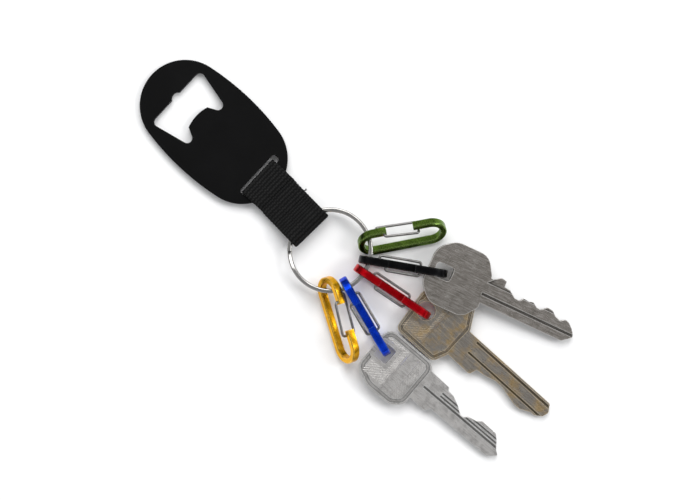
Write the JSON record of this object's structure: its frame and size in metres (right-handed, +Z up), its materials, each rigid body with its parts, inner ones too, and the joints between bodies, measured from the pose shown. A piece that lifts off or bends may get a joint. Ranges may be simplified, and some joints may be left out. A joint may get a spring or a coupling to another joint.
{
  "type": "keychain bottle opener",
  "caption": "Flat oval bottle opener on a webbing strap with a split ring, small coloured wire-gate carabiners and house keys.",
  "frame": {"origin": "under the middle of the whole object's box, at the height of the surface it lies on", "axes": "+X from the opener's head along the object to the key tips, +Z up from the surface, +Y across"},
  "size_m": [0.1826, 0.0644, 0.0116],
  "materials": {
    "black_anodised": "matte",
    "black_webbing": "woven",
    "black_thread": "twisted",
    "ring_steel": "bright",
    "gate_steel": "bright drawn wire",
    "green_anodised": "satin anodised",
    "black_anodised_bar": "satin anodised",
    "red_anodised": "satin anodised",
    "blue_anodised": "satin anodised",
    "gold_anodised": "satin anodised",
    "grey_key_metal": "worn plating",
    "tarnished_key_metal": "tarnished",
    "silver_key_metal": "worn plating"
  },
  "bodies": {
    "opener": {"opener_plate": "black_anodised", "strap_plate_loop": "black_webbing"},
    "strap": {"strap_ring_loop": "black_webbing", "strap_stitching": "black_thread", "strap_thread_tail": "black_thread"},
    "ring": {"split_ring": "ring_steel"},
    "carabiner_green": {"carabiner_frame_green": "green_anodised"},
    "gate_green": {"wire_gate_green": "gate_steel"},
    "carabiner_black": {"carabiner_frame_black": "black_anodised_bar"},
    "gate_black": {"wire_gate_black": "gate_steel"},
    "carabiner_red": {"carabiner_frame_red": "red_anodised"},
    "gate_red": {"wire_gate_red": "gate_steel"},
    "carabiner_blue": {"carabiner_frame_blue": "blue_anodised"},
    "gate_blue": {"wire_gate_blue": "gate_steel"},
    "carabiner_gold": {"carabiner_frame_gold": "gold_anodised"},
    "gate_gold": {"wire_gate_gold": "gate_steel"},
    "key_plain_bow": {"key_plain_bow": "grey_key_metal"},
    "key_round_hole": {"key_round_hole": "tarnished_key_metal"},
    "key_square_hole": {"key_square_hole": "silver_key_metal"}
  },
  "joints": [
    {"name": "strap_bend", "type": "hinge", "parent": "opener", "child": "strap", "pos_m": [-0.02814, -0.00501, 0.00245], "axis": [-0.0488, -0.9988, 0], "range_deg": [-75, 75]},
    {"name": "ring_swing", "type": "hinge", "parent": "strap", "child": "ring", "pos_m": [-0.01625, -0.00559, 0.00395], "axis": [0.0488, 0.9988, 0], "range_deg": [-85, 85]},
    {"name": "green_carabiner_swing", "type": "hinge", "parent": "ring", "child": "carabiner_green", "pos_m": [0.00499, 0.00506, 0.00523], "axis": [-0.8024, 0.5948, -0.0482], "range_deg": [-90, 30]},
    {"name": "green_gate_press", "type": "hinge", "parent": "carabiner_green", "child": "gate_green", "pos_m": [0.00498, 0.01001, 0.00896], "axis": [-0.6375, 0.4632, -0.6157], "range_deg": [0, 25], "stiffness_Nm_per_rad": 0.05, "springref_deg": -5.73},
    {"name": "black_carabiner_swing", "type": "hinge", "parent": "ring", "child": "carabiner_black", "pos_m": [0.00904, 0.00038, 0.00547], "axis": [0.4732, -0.8805, 0.0285], "range_deg": [0, 100]},
    {"name": "black_gate_press", "type": "hinge", "parent": "carabiner_black", "child": "gate_black", "pos_m": [0.01281, 0.00284, 0.0105], "axis": [-0.5476, 0.8368, 0], "range_deg": [0, 25], "stiffness_Nm_per_rad": 0.05, "springref_deg": -5.73},
    {"name": "red_carabiner_swing", "type": "hinge", "parent": "ring", "child": "carabiner_red", "pos_m": [0.01053, -0.00396, 0.00556], "axis": [0.1682, -0.9857, 0.0101], "range_deg": [-100, 0]},
    {"name": "red_gate_press", "type": "hinge", "parent": "carabiner_red", "child": "gate_red", "pos_m": [0.01498, -0.00326, 0.0105], "axis": [-0.1564, 0.9877, 0], "range_deg": [0, 25], "stiffness_Nm_per_rad": 0.05, "springref_deg": -5.73},
    {"name": "blue_carabiner_swing", "type": "hinge", "parent": "ring", "child": "carabiner_blue", "pos_m": [0.00975, -0.01156, 0.00552], "axis": [0.3658, 0.9304, 0.022], "range_deg": [-90, 70]},
    {"name": "blue_gate_press", "type": "hinge", "parent": "carabiner_blue", "child": "gate_blue", "pos_m": [0.01406, -0.01284, 0.0105], "axis": [0.284, 0.9588, 0], "range_deg": [0, 25], "stiffness_Nm_per_rad": 0.05, "springref_deg": -5.73},
    {"name": "gold_carabiner_swing", "type": "hinge", "parent": "ring", "child": "carabiner_gold", "pos_m": [0.00605, -0.01691, 0.00529], "axis": [0.7418, 0.6691, 0.0446], "range_deg": [-10, 60]},
    {"name": "gold_gate_press", "type": "hinge", "parent": "carabiner_gold", "child": "gate_gold", "pos_m": [0.01018, -0.01615, 0.00933], "axis": [0.4145, 0.718, -0.5592], "range_deg": [0, 25], "stiffness_Nm_per_rad": 0.05, "springref_deg": -5.73},
    {"name": "key_plain_bow_swing", "type": "hinge", "parent": "carabiner_black", "child": "key_plain_bow", "pos_m": [0.02724, 0.01229, 0.0058], "axis": [0.5476, -0.8368, 0], "range_deg": [0, 50]},
    {"name": "key_round_hole_swing", "type": "hinge", "parent": "carabiner_red", "child": "key_round_hole", "pos_m": [0.03202, -0.00056, 0.0058], "axis": [0.1564, -0.9877, 0], "range_deg": [-25, 0]},
    {"name": "key_square_hole_swing", "type": "hinge", "parent": "carabiner_blue", "child": "key_square_hole", "pos_m": [0.0306, -0.01774, 0.0058], "axis": [-0.284, -0.9588, 0], "range_deg": [-75, 5]}
  ]
}
